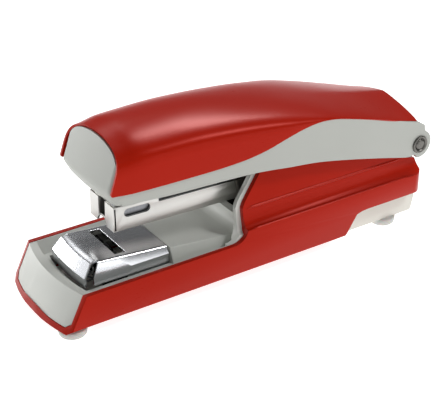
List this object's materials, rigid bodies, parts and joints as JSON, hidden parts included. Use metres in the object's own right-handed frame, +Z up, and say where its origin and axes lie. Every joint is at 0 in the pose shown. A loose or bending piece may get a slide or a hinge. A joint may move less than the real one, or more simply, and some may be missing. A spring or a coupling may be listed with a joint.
{
  "type": "stapler",
  "caption": "Desktop flat-clinch stapler with a hinged handle over a spring-loaded staple magazine, a dipping clinch table and rubber feet.",
  "frame": {"origin": "centre of the footprint of the whole object, on the surface it stands on", "axes": "+Z up, +X from the nose to the hinge, +Y completes a right-handed frame; the object is symmetric about the plane y = 0"},
  "size_m": [0.143, 0.04, 0.058],
  "materials": {
    "red_lacquer": "satin red lacquer",
    "grey_moulding": "fine-grained light grey moulding",
    "white_moulding": "off-white moulding",
    "clear_rubber": "soft translucent grey",
    "dark_steel": "oiled sheet steel",
    "blued_steel": "blackened steel",
    "plated_steel": "zinc plated",
    "satin_steel": "brushed bright steel",
    "bright_chrome": "polished chrome, brushed top",
    "spring_steel": "bright spring wire",
    "staple_wire": "galvanised wire",
    "black_moulding": "black moulding"
  },
  "bodies": {
    "base": {"base_shell": "red_lacquer", "paper_table": "grey_moulding", "bottom_plate": "white_moulding", "foot_front_left": "clear_rubber", "foot_front_right": "clear_rubber", "foot_rear_left": "clear_rubber", "foot_rear_right": "clear_rubber", "base_bracket": "dark_steel", "base_screws": "plated_steel", "clinch_former": "blued_steel", "table_pin": "plated_steel", "table_spring": "spring_steel", "hinge_pin": "bright_chrome", "hinge_ring_left": "bright_chrome", "hinge_ring_right": "bright_chrome", "magazine_spring": "spring_steel"},
    "table": {"clinch_table": "bright_chrome"},
    "magazine": {"magazine_channel": "satin_steel", "staple_rail": "satin_steel", "rail_rivets": "plated_steel", "staple_strip": "staple_wire", "pusher_rod": "plated_steel", "pusher_spring": "spring_steel"},
    "pusher": {"staple_pusher": "black_moulding"},
    "handle": {"handle_shell": "red_lacquer", "handle_frame": "grey_moulding", "handle_bracket": "dark_steel", "frame_screws": "plated_steel", "driver_blade": "satin_steel", "blade_rivets": "plated_steel", "handle_spring": "spring_steel"}
  },
  "joints": [
    {"name": "magazine_swing", "type": "hinge", "parent": "base", "child": "magazine", "pos_m": [0.0665, 0, 0.0296], "axis": [0, -1, 0], "range_deg": [0, 3.3], "stiffness_Nm_per_rad": 6, "springref_deg": -1.15, "deforming": ["magazine_spring"]},
    {"name": "handle_swing", "type": "hinge", "parent": "magazine", "child": "handle", "pos_m": [0.0665, 0, 0.0296], "axis": [0, -1, 0], "range_deg": [-75, 4.4], "stiffness_Nm_per_rad": 0.6, "springref_deg": -4.01, "deforming": ["handle_spring"]},
    {"name": "clinch_table_dip", "type": "hinge", "parent": "base", "child": "table", "pos_m": [-0.03095, 0, 0.009], "axis": [0, -1, 0], "range_deg": [0, 5], "stiffness_Nm_per_rad": 0.4, "springref_deg": -5.73, "deforming": ["table_spring"]},
    {"name": "pusher_slide", "type": "slide", "parent": "magazine", "child": "pusher", "axis": [0.9996, 0, -0.0297], "range_m": [0, 0.032], "stiffness_N_per_m": 40, "springref_m": -0.02, "deforming": ["pusher_spring"]}
  ]
}
